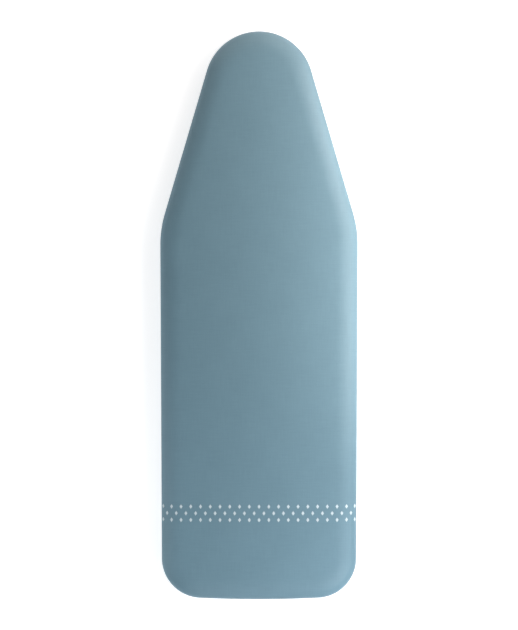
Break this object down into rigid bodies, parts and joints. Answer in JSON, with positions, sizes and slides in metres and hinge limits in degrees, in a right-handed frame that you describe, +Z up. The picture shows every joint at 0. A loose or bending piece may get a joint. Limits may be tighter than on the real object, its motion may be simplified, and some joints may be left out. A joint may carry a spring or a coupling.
{
  "type": "ironing board cover",
  "caption": "Fitted padded ironing board cover with a tapered nose and a squared tail: face cloth over foam and felt, turned under to a corded hem with a spring cord lock.",
  "frame": {"origin": "middle of the plan outline, on the surface that the hem rests on", "axes": "+Y along the cover towards the nose, +Z up out of the ironing face, +X across"},
  "size_m": [0.4176, 1.2, 0.0462],
  "materials": {
    "face_cloth": "blue-grey plain weave, slight sheen",
    "foam": "open-cell foam",
    "felt": "needle felt",
    "tape": "woven bias tape",
    "cord": "braided cord",
    "plastic": "satin moulding",
    "spring_steel": "drawn wire"
  },
  "bodies": {
    "cover": {"face_cloth": "face_cloth", "foam_layer": "foam", "felt_pad": "felt", "hem_casing": "tape", "drawcord": "cord", "cord_end": "plastic"},
    "cord_lock": {"cord_lock_body": "plastic", "cord_lock_spring": "spring_steel"},
    "lock_plunger": {"cord_lock_plunger": "plastic"}
  },
  "joints": [
    {"name": "cord_lock_slide", "type": "slide", "parent": "cover", "child": "cord_lock", "axis": [0, 1, 0], "range_m": [0, 0.024]},
    {"name": "plunger_press", "type": "slide", "parent": "cord_lock", "child": "lock_plunger", "axis": [-1, 0, 0], "range_m": [0, 0.004], "stiffness_N_per_m": 250, "deforming": ["cord_lock_spring"]}
  ]
}
